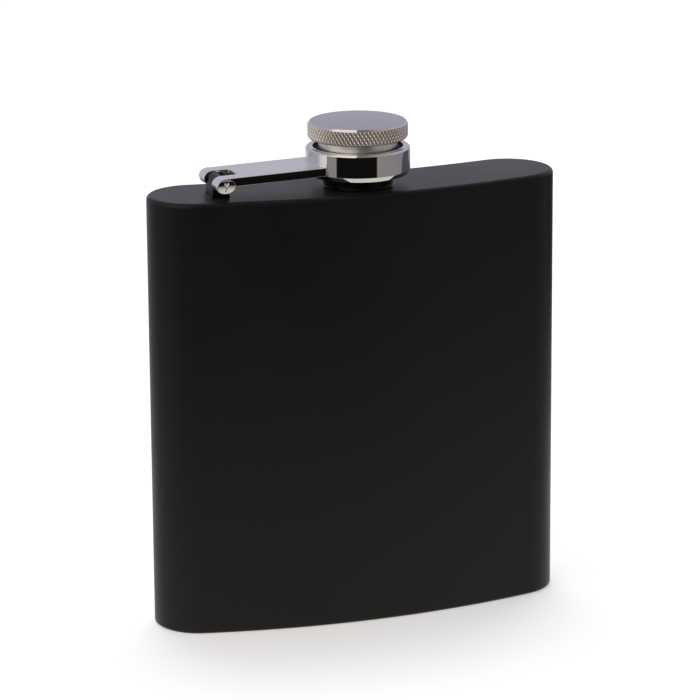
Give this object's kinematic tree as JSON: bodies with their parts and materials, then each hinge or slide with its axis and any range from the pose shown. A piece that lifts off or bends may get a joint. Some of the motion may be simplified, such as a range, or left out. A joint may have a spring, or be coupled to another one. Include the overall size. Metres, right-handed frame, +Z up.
{
  "type": "hip flask",
  "caption": "Curved pocket hip flask in matt black with a knurled screw cap held captive by a hinged steel arm and ring.",
  "frame": {"origin": "underside of the bottom plate, straight below the cap's axis, at the middle of the width and of the thickness", "axes": "+Z up along the cap's axis, X along the width with the hinge at -X, -Y towards the convex front and +Y towards the concave back"},
  "size_m": [0.092, 0.0249, 0.1103],
  "materials": {
    "black_coating": "matt powder coat over stainless steel",
    "polished_steel": "mirror polished stainless steel",
    "brushed_steel": "stainless steel brushed lengthwise",
    "spring_steel": "spring steel",
    "knurled_steel": "satin turned top with a fine diamond knurl",
    "liner_plastic": "moulded nylon",
    "gasket_rubber": "silicone sheet"
  },
  "bodies": {
    "flask": {"body_shell": "black_coating", "top_plate": "black_coating", "bottom_plate": "black_coating", "neck": "black_coating", "hinge_lug": "black_coating"},
    "arm": {"captive_arm": "brushed_steel", "captive_ring": "polished_steel", "hinge_pin": "polished_steel"},
    "slider": {"snap_ring": "spring_steel"},
    "cap": {"cap_head": "knurled_steel", "cap_liner": "liner_plastic", "cap_gasket": "gasket_rubber"}
  },
  "joints": [
    {"name": "arm_hinge", "type": "hinge", "parent": "flask", "child": "arm", "pos_m": [-0.0317, 0, 0.0989], "axis": [0, -1, 0], "range_deg": [0, 180]},
    {"name": "cap_lift", "type": "slide", "parent": "arm", "child": "slider", "axis": [0, 0, 1], "range_m": [0, 0.0021]},
    {"name": "cap_spin", "type": "hinge", "parent": "slider", "child": "cap", "pos_m": [0, 0, 0.1062], "axis": [0, 0, 1], "range_deg": [0, 540]}
  ],
  "couplings": [
    {"joint": "cap_lift", "follows": "cap_spin", "m_per_rad": 0.0002228}
  ]
}
